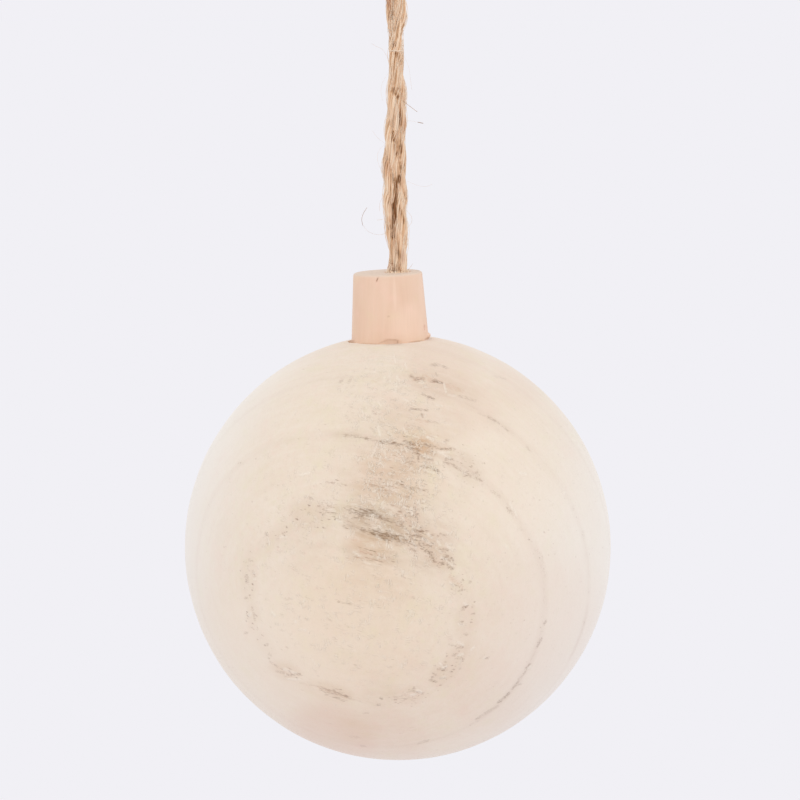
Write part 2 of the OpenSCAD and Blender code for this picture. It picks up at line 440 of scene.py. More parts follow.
# Each stroke is a strength and the column and row of both ends, listed by half width
BALL_STROKES = {
    # Pores, cracks and fibres that lie dark: along the second ring and its orange spot, the
    # stain, the first ring on the right, below and on the left, and here and there
    "dark_stroke": {
        0.3: [
            (0.45, 436.5, 372, 436.5, 375),
        ],
        0.5: [
            (0.5, 408, 375, 413, 377), (0.5, 427, 364, 438, 365), (0.5, 439, 365, 448, 368),
            (0.45, 422, 394, 430, 397), (0.35, 344, 435, 358, 436), (0.45, 383, 443, 402, 446),
            (0.45, 396, 484, 411, 488), (0.55, 411, 488, 428, 491), (0.3, 336, 514, 348, 519),
            (0.3, 344, 524, 354, 527), (0.35, 354, 527, 364, 531), (0.45, 364, 531, 374, 533),
            (0.45, 400, 536, 408, 540), (0.4, 440, 534, 447, 536), (0.4, 409, 690, 423, 694),
            (0.3, 496, 421, 508, 431), (0.45, 537, 647, 542, 638), (0.4, 525, 669, 530, 664),
            (0.4, 476, 719, 480, 717), (0.2, 350, 737, 360, 737),
        ],
        0.6: [
            (0.9, 421, 380, 433, 381), (0.8, 433, 381, 442, 383), (1, 428, 397, 434, 399),
            (0.6, 410, 409, 422, 410), (0.45, 421, 414, 423, 417), (0.35, 345, 436, 364, 438),
            (0.35, 368, 439, 379, 441), (0.5, 406, 443, 414, 446), (0.6, 417.5, 450, 418.5, 461),
            (0.55, 413, 452, 422, 456), (0.65, 423, 457, 433, 460), (0.45, 431, 446, 442, 449),
            (0.6, 441, 449, 451, 449), (0.5, 446, 459, 452, 459), (0.3, 463, 475, 466, 476),
            (0.35, 475, 473, 478, 472), (0.55, 404, 461, 412, 463), (0.4, 404, 463, 408, 458),
            (0.55, 421, 466, 432, 468), (0.6, 432, 468, 439, 472), (0.15, 401, 470, 412, 471),
            (0.35, 371, 486, 384, 487), (0.35, 376, 489, 384, 491), (0.4, 386, 485, 396, 489),
            (0.5, 384, 491, 391, 493), (0.3, 398, 495, 411, 498), (0.2, 337, 484, 347, 485),
            (0.4, 344, 508, 356, 511), (0.35, 352, 518, 372, 519), (0.3, 364, 525, 376, 526),
            (0.4, 326, 512, 336, 514), (0.3, 335, 518, 340, 520), (0.35, 328, 505, 331, 508),
            (0.6, 386, 539, 398, 539), (0.5, 399, 524, 406, 529), (0.5, 406, 529, 412, 536),
            (0.7, 412, 530, 423, 532), (0.55, 419, 535, 427, 541), (0.55, 409, 543, 418, 546),
            (0.45, 411, 549, 416, 551), (0.6, 447, 566, 453, 569), (0.45, 440, 549, 448, 550),
            (0.3, 400, 508, 404, 512), (0.35, 452, 584, 459, 587), (0.35, 459, 590, 464, 590),
            (0.3, 472, 607, 474, 606), (0.35, 472, 614, 475, 614), (0.3, 448, 645, 456, 646),
            (0.4, 458, 658, 463, 659), (0.3, 440, 678, 446, 678), (0.5, 380, 698, 382, 699),
            (0.4, 377, 705, 380, 705), (0.4, 321, 688, 334, 692), (0.4, 334, 692, 350, 698),
            (0.3, 326, 694, 340, 699), (0.15, 350, 699, 366, 703), (0.15, 300, 683, 320, 687),
            (0.25, 270, 662, 278, 667), (0.2, 345, 625, 349, 628), (0.2, 478, 413, 488, 417),
            (0.5, 544, 624, 546, 621), (0.4, 512, 689, 518, 682), (0.35, 361, 746, 365, 746),
            (0.35, 418, 743, 428, 741), (0.22, 363, 713, 369, 713), (0.26, 510, 510, 513, 515),
            (0.22, 526, 446, 529, 451),
        ],
        0.7: [
            (0.8, 413, 378, 421, 381), (0.6, 425, 410, 428, 410), (0.25, 428, 421, 438, 423),
            (0.65, 387, 442, 390, 442), (0.65, 398, 444, 402, 445), (0.5, 444, 462, 454, 465),
            (0.4, 466, 473, 471, 477), (0.4, 475, 478, 482, 481), (0.4, 326, 482, 334, 483),
            (0.65, 360, 509, 370, 511), (0.5, 364, 514, 374, 514), (0.5, 380, 517, 392, 522),
            (0.45, 320, 512, 323, 514), (0.35, 308, 513, 311, 514), (0.75, 374, 531, 380, 532),
            (0.65, 371, 534, 384, 538), (0.7, 386, 533, 399, 537), (0.6, 392, 538, 407, 543),
            (0.7, 413, 535, 420, 537), (0.6, 419, 543, 431, 546), (0.65, 431, 555, 434, 561),
            (0.6, 444, 557, 451, 559), (0.4, 414, 508, 415, 512), (0.35, 407, 514, 412, 517),
            (0.35, 422, 508, 424, 510), (0.4, 465, 634, 467, 635), (0.4, 457, 648, 463, 647),
            (0.45, 453, 655, 455, 655), (0.4, 433, 673, 436, 675), (0.45, 430, 680, 436, 682),
            (0.4, 287, 675, 300, 674), (0.3, 253, 571, 255, 577), (0.25, 252, 607, 255, 620),
            (0.3, 412, 598, 414, 598), (0.2, 306, 618, 309, 620), (0.2, 338, 602, 360, 606),
            (0.4, 488, 417, 496, 421), (0.25, 518, 680, 526, 671), (0.3, 501, 700, 504, 698),
            (0.6, 498, 702, 501, 701), (0.3, 485, 713, 490, 710), (0.45, 486, 658, 488, 658),
            (0.6, 266, 533, 267, 535), (0.36, 507, 507, 509, 512), (0.14, 582, 531, 586, 544),
            (0.13, 567, 498, 575, 511),
        ],
        0.8: [
            (0.2, 493, 376, 506, 379), (0.25, 371, 428, 375, 433), (0.65, 365, 438, 368, 439),
            (0.65, 404, 441, 415, 444), (0.65, 407, 447, 419, 450), (0.7, 371, 512, 381, 516),
            (0.7, 376, 516, 384, 520), (0.4, 388, 520, 402, 524), (0.7, 362, 529, 364, 530),
            (0.8, 379, 534, 393, 537), (0.7, 439, 563, 444, 564), (0.35, 469, 582, 471, 582),
            (0.45, 461, 609, 464, 609), (0.3, 459, 622, 463, 622), (0.35, 438, 669, 446, 670),
            (0.25, 276, 671, 284, 673), (0.3, 246, 581, 248, 582), (0.3, 249, 560, 252, 561),
            (0.3, 245, 633, 247, 633), (0.2, 328, 619, 332, 621), (0.2, 514, 686, 521, 684),
            (0.55, 504, 698, 509, 693), (0.15, 537, 550, 543, 557), (0.14, 542, 558, 545, 577),
            (0.14, 485, 566, 489, 556),
        ],
        0.9: [
            (0.35, 340, 381, 342, 381), (0.35, 348, 380, 350, 381), (0.25, 373, 411, 376, 415),
            (0.25, 379, 421, 383, 423), (0.85, 393, 443, 395, 443), (0.3, 454, 466, 466, 473),
            (0.65, 350, 512, 363, 515), (0.75, 426, 551, 430, 553), (0.4, 265, 645, 267, 645),
            (0.35, 245, 598, 247, 598),
        ],
        1: [
            (0.22, 386, 430, 392, 438), (0.85, 380, 442, 384, 442), (0.4, 445, 441, 447, 441),
            (0.5, 464, 607, 467, 606), (0.15, 404, 694, 416, 703), (0.2, 269, 654, 271, 656),
            (0.35, 245, 577, 248, 578), (0.15, 527, 446, 530, 452), (0.2, 479, 717, 498, 706),
            (0.08, 546, 596, 547, 612),
        ],
        1.1: [
            (0.55, 425, 444, 430, 446), (0.15, 394, 697, 406, 699), (0.25, 402, 576, 405, 578),
        ],
        1.2: [
            (0.85, 359, 515, 362, 515), (0.18, 491, 490, 500, 497),
        ],
        1.4: [
            (0.22, 460, 396, 475, 401),
        ],
        1.6: [
            (0.15, 286, 599, 291, 599),
        ],
    },
    # Reddish lines along the grain and the rings
    "reddish_stroke": {
        0.8: [
            (0.3, 372, 553, 390, 559), (0.3, 356, 557, 386, 561), (0.55, 423, 380, 437, 382),
        ],
        0.9: [
            (0.75, 411, 378, 423, 381),
        ],
        1: [
            (0.25, 372, 381, 380, 382), (0.3, 400, 512, 410, 524),
        ],
        1.2: [
            (0.3, 416, 421, 428, 422), (0.4, 360, 551, 371, 554), (0.2, 352, 540, 374, 543),
        ],
        1.3: [
            (0.3, 385, 490, 394, 494),
        ],
        1.5: [
            (0.3, 424, 376, 444, 384),
        ],
        1.6: [
            (0.25, 450, 576, 462, 588), (0.22, 318, 687, 346, 697), (0.2, 366, 482, 400, 490),
        ],
        2: [
            (0.25, 446, 385, 462, 391), (0.1, 346, 697, 384, 704),
        ],
    },
    # Pale flecks, raised fibres, and painted highlights on the lit edges of pits
    "light_stroke": {
        0.7: [
            (0.5, 421, 455, 431, 458), (0.4, 413, 436, 419, 438), (0.45, 424, 470, 434, 473),
            (0.4, 376, 447, 372, 456), (0.4, 384, 450, 386, 458), (0.45, 404, 528, 409, 533),
            (0.45, 376, 536, 381, 540), (0.4, 354, 552, 360, 556), (0.4, 336, 519, 342, 522),
            (0.35, 352, 504, 362, 507), (0.45, 386, 487, 396, 491), (0.45, 328, 509, 335, 511),
            (0.45, 437, 540, 440, 545), (0.45, 446, 544, 450, 548), (0.5, 441, 557, 447, 560),
            (0.5, 449, 563, 454, 566), (0.5, 422, 538, 428, 542), (0.45, 412, 541, 416, 547),
            (0.45, 392, 531, 398, 534), (0.25, 394, 355, 395, 362), (0.3, 405, 364, 407, 369),
            (0.25, 389, 375, 390, 381), (0.25, 397, 383, 395, 392), (0.3, 383, 376, 386, 379),
            (0.3, 378, 402, 381, 406), (0.25, 403, 399, 408, 401), (0.3, 436, 405, 442, 406),
            (0.25, 448, 395, 456, 396), (0.5, 404, 506, 408, 512), (0.6, 411, 508, 412, 515),
            (0.5, 401, 515, 404, 520), (0.4, 288, 679, 300, 679), (0.4, 403, 428, 407, 434),
            (0.45, 378, 425, 380, 436), (0.4, 388, 432, 392, 436), (0.3, 408, 447, 415, 447),
            (0.35, 419, 483, 421, 490), (0.35, 427, 540, 431, 545), (0.35, 436, 548, 441, 552),
            (0.15, 396, 655, 400, 668), (0.15, 350, 650, 356, 651),
        ],
        0.8: [
            (0.55, 427, 437, 433, 440), (0.45, 440, 452, 449, 452), (0.45, 371, 514, 377, 516),
            (0.45, 428, 534, 432, 538), (0.35, 444, 384, 446, 392), (0.4, 419, 382, 423, 383),
            (0.3, 373, 370, 375, 371), (0.35, 397, 377, 399, 380), (0.2, 374, 600, 370, 616),
            (0.18, 312, 659, 316, 666), (0.35, 284, 669, 296, 673), (0.2, 380, 597, 386, 598),
            (0.4, 528, 668, 530, 666), (0.35, 484, 658, 485, 658), (0.45, 249, 616, 251, 613),
            (0.45, 272, 612, 275, 616), (0.45, 295, 621, 296, 622), (0.4, 254, 573, 255, 573),
            (0.4, 254, 579, 255, 579), (0.4, 280, 537, 286, 537), (0.4, 301, 475, 309, 473),
            (0.35, 267, 532, 268, 534), (0.35, 300, 629, 306, 630), (0.35, 303, 524, 307, 524),
            (0.45, 510, 503, 512, 508), (0.4, 514, 509, 517, 516), (0.4, 505, 545, 508, 548),
            (0.4, 520, 473, 526, 474), (0.35, 560, 492, 564, 493), (0.45, 464, 603, 467, 605),
            (0.4, 459, 624, 463, 625), (0.45, 458, 642, 463, 645), (0.45, 458, 655, 463, 654),
            (0.45, 443, 668, 447, 666), (0.4, 440, 663, 442, 666), (0.4, 441, 678, 445, 677),
            (0.45, 417, 690, 421, 692), (0.4, 411, 695, 415, 694), (0.4, 450, 582, 454, 586),
            (0.4, 471, 650, 474, 647),
        ],
        1: [
            (0.5, 390, 513, 392, 516), (0.45, 438, 452, 450, 458),
        ],
        1.2: [
            (0.22, 364, 562, 378, 566),
        ],
    },
}

# The far half, which the photo doesn't show, is a little yellower, with rings and raised fibres
# all over
BACK_LEVELS = {"dark_ring": 0.35, "fuzzy": 0.45, "yellow": 0.2}
# The marks fade in over this depth in front of the ball's middle, and the back's levels over
# this depth behind it
FRONT_FADE = 8
BACK_FADE = 20


def ball_marks(points):
    """The values that the ball's mesh holds for its material, most of them on the half that
    faces the camera."""
    marks = {label: oval_strengths(points, ovals) for label, ovals in BALL_OVALS.items()}
    marks.update({label: stroke_strengths(points, s) for label, s in BALL_STROKES.items()})
    nearer = (points - BALL_MIDDLE) @ TOWARD
    marks = {label: smooth(nearer / FRONT_FADE) * values for label, values in marks.items()}
    for label, level in BACK_LEVELS.items():
        marks[label] += level * smooth(-nearer / BACK_FADE)
    return marks


PLAIN_WOOD = [
    (0.0, rgb(227, 208, 188)),
    (0.45, rgb(235, 218, 199)),
    (0.75, rgb(238, 223, 206)),
    (1.0, rgb(242, 230, 216)),
]
WARM_HUE = rgb(236, 209, 192)
GREEN_HUE = rgb(231, 219, 188)
SMALL_WARM_HUE = rgb(240, 209, 194)
SMALL_GREEN_HUE = rgb(230, 221, 186)
# Painted sheen: the sides of the ball where the grain ends turn paler and greyer
END_GRAIN_SHEEN = rgb(243, 237, 229)
PALE_WOOD = rgb(243, 228, 211)
PINK_WOOD = rgb(224, 188, 166)
YELLOW_WOOD = rgb(238, 210, 177)
STAIN_CLOUD = rgb(192, 163, 133)
STAIN_FIBRE = rgb(134, 105, 75)
ORANGE_SPOT = rgb(206, 160, 112)
RING_HALO = rgb(198, 168, 152)
RING_LINE = rgb(158, 128, 106)
PORE_GROUND = rgb(200, 162, 130)
OPEN_PORE = rgb(146, 106, 80)
REDDISH_LINE = rgb(204, 160, 132)
DARK_LINE = rgb(132, 99, 72)
OLD_GLUE = rgb(176, 128, 92)
# Painted shadow beside each raised fibre
FIBRE_SHADOW = rgb(160, 126, 92)
# Pale raised fibres, and painted highlights on the lit edges of pits
FIBRE_AND_HIGHLIGHT = rgb(253, 243, 228)
# How near 0 a raised fibre's noise lies, and how far its painted shadow is from it in millimetres
FIBRE_WIDTH = 0.09
FIBRE_SHADOW_SHIFT = (-0.13, 0, 0.05)
# Even plain wood has a few pores
LEAST_PORES = 0.003


def squiggles(n, sides, lengths, shift):
    """Thin wavering lines, longest along the last of three directions."""
    moved = [value + by for value, by in zip(sides, shift)]
    height = n.noise(lengths, moved, detail=1.0, distortion=0.5)
    return n.rise(abs(height), FIBRE_WIDTH, FIBRE_WIDTH * 0.2)


def raised_fibres(n, sides, lengths, share):
    """Fibres that sanding raised: pale, and each with a painted shadow beside it."""
    patches = n.noise((1.5, 1.5, 1.5), sides, detail=3.0, roughness=0.6)
    there = n.rise(patches + share, 0.0, 0.14)
    return [squiggles(n, sides, lengths, by) * there for by in ((0, 0, 0), FIBRE_SHADOW_SHIFT)]


def pores(n, grain, crowd, size, slimness):
    """Open pores cut by the surface: dashes along the grain, and dots where it cuts across."""
    ragged = n.ragged(n.stretched((slimness * size, size, size), grain), 0.5)
    distance, draw, shade = n.cells(ragged)
    inside = n.rise(distance, 0.34, 0.14) * n.rise(draw - crowd, 0.03, -0.03)
    return inside * (shade * 0.8 + 0.2)


def wisps(n, grain, crowd, length, width):
    """Ragged dark streaks along the grain, more of them where they crowd."""
    streaks = n.noise((length, width, width), grain, detail=3.0, roughness=0.65)
    return n.rise(streaks - (crowd * -0.29 + 0.28), 0.0, 0.08)


def torn_stroke(n, stroke, torn):
    """A painted stroke, torn along the grain, with its soft edges cut short."""
    share = stroke * torn
    return share * n.rise(share, 0.02, 0.15)


def ring_distances(n, grain, push):
    """How far a point lies past the first ring, and how far from the nearest ring."""
    _, deep, across = grain
    from_pith = deep * -1 + PITH_DISTANCE
    radius = n.math("SQRT", from_pith * from_pith + across * across)
    wobble = n.noise((16, 16, 16), grain)
    beyond = radius + (RING_DEPTH - PITH_DISTANCE) + wobble + push
    count = beyond * (beyond * -RING_WIDENING + RINGS_PER_MM)
    return beyond, abs(n.math("WRAP", count, 0.5, -0.5)) * (1 / RINGS_PER_MM)


def plain_wood(n, grain, seen, beyond):
    """Slow changes of tone, streaks along the grain and layers between the rings, then changes
    of hue."""
    along, _, across = grain
    right, toward, up = seen
    tone = n.noise((22, 9, 9), grain, detail=3.0)
    streaks = n.noise((14, 0.7, 0.7), grain, detail=4.0, roughness=0.6)
    blotches = n.noise((0.9, 0.9, 1.7), seen)
    layers = n.noise((18, 7, 0.8), (along, across, beyond), detail=3.0, roughness=0.6)
    tone = tone * 0.7 + streaks * 0.25 + blotches * 0.42 + layers * 0.55
    hue = n.noise((5, 5, 5), (up, right, toward))
    small_hue = n.noise((1.3, 1.3, 1.3), (up, right, toward))
    return n.coats(
        n.ramp(tone + 0.5, PLAIN_WOOD),
        (n.rise(hue, 0.0, 0.6), WARM_HUE),
        (n.rise(hue, 0.0, -0.5), GREEN_HUE),
        (n.rise(small_hue, 0.0, 0.5) * 0.5, SMALL_WARM_HUE),
        (n.rise(small_hue, 0.0, -0.5) * 0.5, SMALL_GREEN_HUE),
    )


def toned(n, colour, along, marks):
    """Painted sheen on the sides where the grain ends, paler and greyer, and the paler, pinker and yellower
    parts.
    """
    return n.coats(
        colour,
        # Painted sheen on the sides where the grain ends
        (n.rise(abs(along), 0.45 * BALL_R, BALL_R) * 0.7, END_GRAIN_SHEEN),
        (marks["pale"] * 0.5, PALE_WOOD),
        (marks["pink"] * 0.5, PINK_WOOD),
        (marks["yellow"] * 0.5, YELLOW_WOOD),
    )


def stained(n, colour, grain, marks):
    """Soft clouds of the stain, the orange spot, then long dark fibres."""
    cloud = n.noise((4.0, 1.4, 1.4), grain, detail=4.0, roughness=0.6)
    soft = marks["stain"] * n.rise(cloud, -0.35, 0.2)
    orange = marks["orange"] * n.rise(cloud, -0.4, 0.1)
    crowd = marks["dark_wisps"]
    dark = n.strongest(wisps(n, grain, crowd, 2.6, 0.26), pores(n, grain, crowd, 0.34, 6.0))
    return n.coats(
        colour, (soft * 0.6, STAIN_CLOUD), (orange * 0.7, ORANGE_SPOT), (dark * 0.56, STAIN_FIBRE)
    )


def ringed(n, colour, grain, marks, beyond, off_ring):
    """A ring starts with a thin broken line in a soft halo, and with pores on both sides of it.
    Gives the colour and the pores."""
    dark_part = marks["dark_ring"]
    clumps = n.noise((5, 2.5, 2.5), grain, detail=3.0)
    teeth = n.noise((1.1, 0.45, 0.6), grain, detail=3.0)
    later = n.rise(beyond, 4, 8)
    halo = n.rise(off_ring, 1.2, 0.0) * later * (dark_part * 0.20 + 0.06)
    broken = n.rise(clumps * 0.8 + teeth * 1.8, -0.05, 0.3)
    line = n.rise(abs(off_ring + teeth * 1.2), 0.30, 0.05) * broken * later
    line = line * (dark_part * 0.42 + 0.07)
    band = n.rise(off_ring, 1.0, 0.2) * (n.rise(clumps, 0.0, 0.2) * later)
    crowd = n.strongest(marks["pore_crowd"], band * (dark_part * 0.2 + 0.12), LEAST_PORES)
    pore = n.strongest(
        pores(n, grain, crowd * 0.7, 0.66, 2.8),
        pores(n, grain, crowd, 0.42, 3.4),
        wisps(n, grain, crowd * 0.75, 1.1, 0.30) * 0.8,
    )
    colour = n.coats(
        colour,
        (halo, RING_HALO),
        (marks["pore_crowd"] * 0.30, PORE_GROUND),
        (line, RING_LINE),
        (pore * 0.5, OPEN_PORE),
    )
    return colour, pore


def stroked(n, colour, grain, marks):
    """Single strokes, torn along the grain. Gives the colour, the dark and the light strokes."""
    torn = n.rise(n.noise((0.7, 0.2, 0.2), grain), -0.15, 0.15) + 0.2
    reddish = torn_stroke(n, marks["reddish_stroke"], torn)
    dark = torn_stroke(n, marks["dark_stroke"], torn)
    light = torn_stroke(n, marks["light_stroke"], torn * -0.6 + 1.35)
    colour = n.coats(
        colour, (reddish, REDDISH_LINE), (dark * 0.88, DARK_LINE), (marks["glue"] * 0.6, OLD_GLUE)
    )
    return colour, dark, light


def fuzzed(n, colour, grain, seen, fuzzy, light_stroke):
    """Raised fibres: most stand across the grain, the rest lie along it, each with a painted shadow beside
    it. Gives the colour and the pale fibres, with the painted highlights of the light strokes among them."""
    along, deep, across = grain
    more = fuzzy * 0.23 + -0.17
    upright, upright_shadow = raised_fibres(n, seen, (0.58, 0.58, 1.7), more)
    level, level_shadow = raised_fibres(n, (across, deep, along), (0.45, 0.45, 1.9), more)
    strength = fuzzy * 0.55 + 0.45
    # Painted shadows of the raised fibres
    dark = n.strongest(upright_shadow, level_shadow) * strength
    light = n.strongest(upright, level * 0.6) * strength
    # The light strokes add painted highlights on the edges of pits
    light = n.strongest(light, light_stroke * 2.4)
    return n.coats(colour, (dark * 0.20, FIBRE_SHADOW), (light * 0.40, FIBRE_AND_HIGHLIGHT)), light


def ball_wood():
    """The ball's wood, from its plain tones up to its marks and raised fibres."""
    n = Nodes(bpy.data.materials.new("pale_ring_porous_wood"))
    reaches = n.reaches(BALL_MIDDLE, (RIGHT, TOWARD, UP, ALONG, PITHWARD, ACROSS))
    seen, grain = reaches[:3], reaches[3:]
    marks = {name: n.painted(name) for name in (*BALL_OVALS, *BALL_STROKES)}
    beyond, off_ring = ring_distances(n, grain, marks["ring_push"])
    colour = plain_wood(n, grain, seen, beyond)
    colour = toned(n, colour, grain[0], marks)
    colour = stained(n, colour, grain, marks)
    colour, pore = ringed(n, colour, grain, marks, beyond, off_ring)
    colour, dark_stroke, light_stroke = stroked(n, colour, grain, marks)
    colour, light = fuzzed(n, colour, grain, seen, marks["fuzzy"], light_stroke)
    rough = n.noise((0.3, 0.3, 0.7), seen)
    height = light * 0.5 + n.strongest(pore, dark_stroke) * -0.6 + rough * 0.5
    return n.finish(
        Base_Color=colour,
        Roughness=0.75,
        Specular_IOR_Level=0.3,
        Sheen_Weight=0.5,
        Sheen_Roughness=0.5,
        Normal=n.bump(height, 0.12),
    )


# ---------------------------------------------------------------- wood of the cap

CAP_WOOD = [(0.0, rgb(226, 188, 160)), (0.5, rgb(238, 205, 181)), (1.0, rgb(246, 216, 194))]
CAP_PINK = rgb(246, 206, 186)
CAP_YELLOW = rgb(236, 210, 176)
CAP_PALE = rgb(250, 220, 198)
# End grain with painted shade: the cap's top greyer, as if less light fell from above
CAP_END_GRAIN_SHADE = rgb(226, 207, 190)
CAP_STAIN = rgb(168, 124, 92)
CAP_HOLLOW = rgb(112, 78, 52)


def cap_wood():
    """Fine upright grain, with the wall's stains and the paler rim painted on the mesh. The top and rim are
    end grain, with painted shade that makes them greyer.
    """
    n = Nodes(bpy.data.materials.new("pinkish_cap_wood"))
    x, y, z = n.reaches((0, 0, 0), np.eye(3))
    grain = n.noise((0.8, 0.8, 14), (x, y, z))
    tone = n.noise((5, 5, 12), (x, y, z), detail=1.0)
    hue = n.noise((3, 3, 4), (y, z, x), detail=1.0)
    colour = n.coats(
        n.ramp(grain * 0.3 + 0.5 + tone * 0.8, CAP_WOOD),
        (n.rise(hue, 0.0, 0.6), CAP_PINK),
        (n.rise(hue, 0.0, -0.6), CAP_YELLOW),
        (n.painted("pale") * 0.8, CAP_PALE),
        (n.painted("end_grain_shade") * 0.85, CAP_END_GRAIN_SHADE),
        (n.painted("stained"), CAP_STAIN),
        (n.painted("hollow"), CAP_HOLLOW),
    )
    bumped = n.bump(grain, 0.05)
    return n.finish(Base_Color=colour, Roughness=0.6, Specular_IOR_Level=0.35, Normal=bumped)


# ---------------------------------------------------------------- twine

JUTE = [
    (0.0, rgb(140, 94, 56)),
    (0.3, rgb(218, 177, 138)),
    (0.6, rgb(243, 209, 176)),
    (1.0, rgb(252, 231, 207)),
]
JUTE_RUST = rgb(196, 130, 90)


def twine_fibre(name):
    """Jute: each fibre has its own tone, which the mesh holds."""
    n = Nodes(bpy.data.materials.new(name))
    fine = n.noise((0.12, 0.12, 1.6), n.reaches((0, 0, 0), np.eye(3)))
    colour = n.ramp(n.painted("tone") + fine * 0.35, JUTE)
    colour = n.coats(colour, (n.painted("rust") * 0.6, JUTE_RUST))
    bumped = n.bump(fine, 0.03)
    return n.finish(Base_Color=colour, Roughness=0.65, Specular_IOR_Level=0.3, Normal=bumped)


# ---------------------------------------------------------------- meshes


def new_object(name, points, faces, material, painted=None):
    """An object from points in millimetres of the row frame, with values painted on them."""
    mesh = bpy.data.meshes.new(name)
    mesh.from_pydata((np.asarray(points) * MM).tolist(), [], faces)
    mesh.validate()
    for label, values in (painted or {}).items():
        mesh.attributes.new(label, "FLOAT", "POINT").data.foreach_set("value", values)
    mesh.materials.append(material)
    piece = bpy.data.objects.new(name, mesh)
    bpy.context.scene.collection.objects.link(piece)
    return piece


def turned_skin(rings, angles, closed=False):
    """Points and faces of a skin over rings of one axis, each (offset, radius, height), with a
    point at each angle. A ring of radius 0 is one point. The skin's outside is on the rings' left."""
    points, faces, starts = [], [], []
    steps = len(angles)
    for offset, radius, height in rings:
        starts.append(len(points))
        if radius == 0:
            points.append((offset, 0.0, height))
            continue
        for a in angles:
            points.append((offset + radius * math.cos(a), radius * math.sin(a), height))
    pairs = list(zip(range(len(rings)), range(1, len(rings))))
    if closed:
        pairs.append((len(rings) - 1, 0))
    for low, high in pairs:
        for k in range(steps):
            nxt = (k + 1) % steps
            a, b = starts[low] + k, starts[low] + nxt
            c, d = starts[high] + nxt, starts[high] + k
            if rings[low][1] == 0:
                faces.append((starts[low], c, d))
            elif rings[high][1] == 0:
                faces.append((a, b, starts[high]))
            else:
                faces.append((a, b, c, d))
    return np.array(points), faces


# The ball's skin is fine where the camera sees its marks, in degrees about its axis from the
# front and down from its top, and coarser elsewhere
FINE_TURN = 49
FINE_POLAR = (33, 139)
FINE_MM = 0.305
COARSE_TURN = 2.4
COARSE_MM = 1.0
SHARP_EDGE = math.radians(35)
# Where the front lies, in degrees about the axis
FRONT = -90
# Bumps of the turned surface, each as height, reach and seed
BALL_BUMPS = [(0.05, 7.0, 3.0), (0.02, 1.8, 8.0)]
# A point this little inside the ball's radius is still on its skin
SKIN_SLACK = 0.01


def relief(points, reach, seed):
    """Smooth noise from about -1 to 1 at each point, with bumps of about the given reach."""
    shift = Vector((seed, 0, 0))
    return np.array([noise.noise(Vector(p) / reach + shift) for p in points])


def stops_between(start, end, fine_start, fine_end, fine, coarse):
    """Angles from start to end, in fine steps between two of them and in coarse steps outside."""
    spans = [(start, fine_start, coarse), (fine_start, fine_end, fine), (fine_end, end, coarse)]
    parts = [np.linspace(a, b, math.ceil((b - a) / step), endpoint=False) for a, b, step in spans]
    return np.radians(np.concatenate(parts))


def make_ball(material):
    first = math.degrees(math.asin(SEAT_R / BALL_R))
    degrees_per_mm = math.degrees(1 / BALL_R)
    angles = stops_between(
        FRONT - 180,
        FRONT + 180,
        FRONT - FINE_TURN,
        FRONT + FINE_TURN,
        FINE_MM * degrees_per_mm,
        COARSE_TURN,
    )
    polars = stops_between(
        first, 180, *FINE_POLAR, FINE_MM * degrees_per_mm, COARSE_MM * degrees_per_mm
    )
    rings = [
        (0, 0, -CAP_H - SOCKET_DEPTH - DRILL_POINT_H),
        (0, SOCKET_R, -CAP_H - SOCKET_DEPTH),
        (0, SOCKET_R, -CAP_H),
        (0, (SOCKET_R + SEAT_R) / 2, -CAP_H),
    ]
    for polar in polars:
        rings.append((0, BALL_R * math.sin(polar), -CAP_H - SEAT_H + BALL_R * math.cos(polar)))
    rings.append((0, 0, -CAP_H - SEAT_H - BALL_R))
    rings.reverse()
    points, faces = turned_skin(rings, angles)
    points = hung(points)
    away = points - BALL_MIDDLE
    distance = np.linalg.norm(away, axis=1)
    skin = distance > BALL_R - SKIN_SLACK
    bumps = sum(height * relief(points, reach, seed) for height, reach, seed in BALL_BUMPS)
    points += away / distance[:, None] * (bumps * skin)[:, None]
    ball = new_object("turned_ball", points, faces, material, ball_marks(points))
    finish_turned(ball)
    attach(ball, "root")
    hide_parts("ball")


def finish_turned(piece):
    piece.data.shade_smooth()
    piece.data.set_sharp_from_angle(angle=SHARP_EDGE)


CAP_STEPS = 420
CAP_ROWS = 80
CAP_RIM_STEPS = 6
# Fibres fill the mouth's bevel, so that only its lowest part shows
MOUTH_WEAR = 0.15


def cap_rings():
    """The cap as rings: up its wall from the foot, over the top, down the hole, back outside."""
    taper = math.atan((CAP_FOOT_D - CAP_TOP_D) / 2 / CAP_H)
    foot_r = CAP_FOOT_D / 2
    rim_x = foot_r - (CAP_RIM_R + (CAP_H - CAP_RIM_R) * math.sin(taper)) / math.cos(taper)
    rim = []
    for i in range(CAP_RIM_STEPS + 1):
        angle = taper + (math.pi / 2 - taper) * i / CAP_RIM_STEPS
        rim.append((0, rim_x + CAP_RIM_R * math.cos(angle), CAP_RIM_R * (math.sin(angle) - 1)))
    wall_top = rim[0]
    rings = []
    for row in range(CAP_ROWS):
        t = row / CAP_ROWS
        rings.append((0, foot_r + (wall_top[1] - foot_r) * t, -CAP_H + (wall_top[2] + CAP_H) * t))
    rings += rim
    mouth_r = HOLE_R + MOUTH_WEAR
    for t in (0.25, 0.5, 0.75, 1.0):
        rings.append((HOLE_OFFSET * t, rim[-1][1] + (mouth_r - rim[-1][1]) * t, 0.0))
    rings.append((HOLE_OFFSET, HOLE_R, -MOUTH_WEAR))
    rings.append((HOLE_OFFSET, HOLE_R, SPIGOT_END))
    rings.append((0, SPIGOT_R - SPIGOT_BEVEL, SPIGOT_END))
    rings.append((0, SPIGOT_R, SPIGOT_END + SPIGOT_BEVEL))
    rings.append((0, SPIGOT_R, -CAP_H))
    return rings


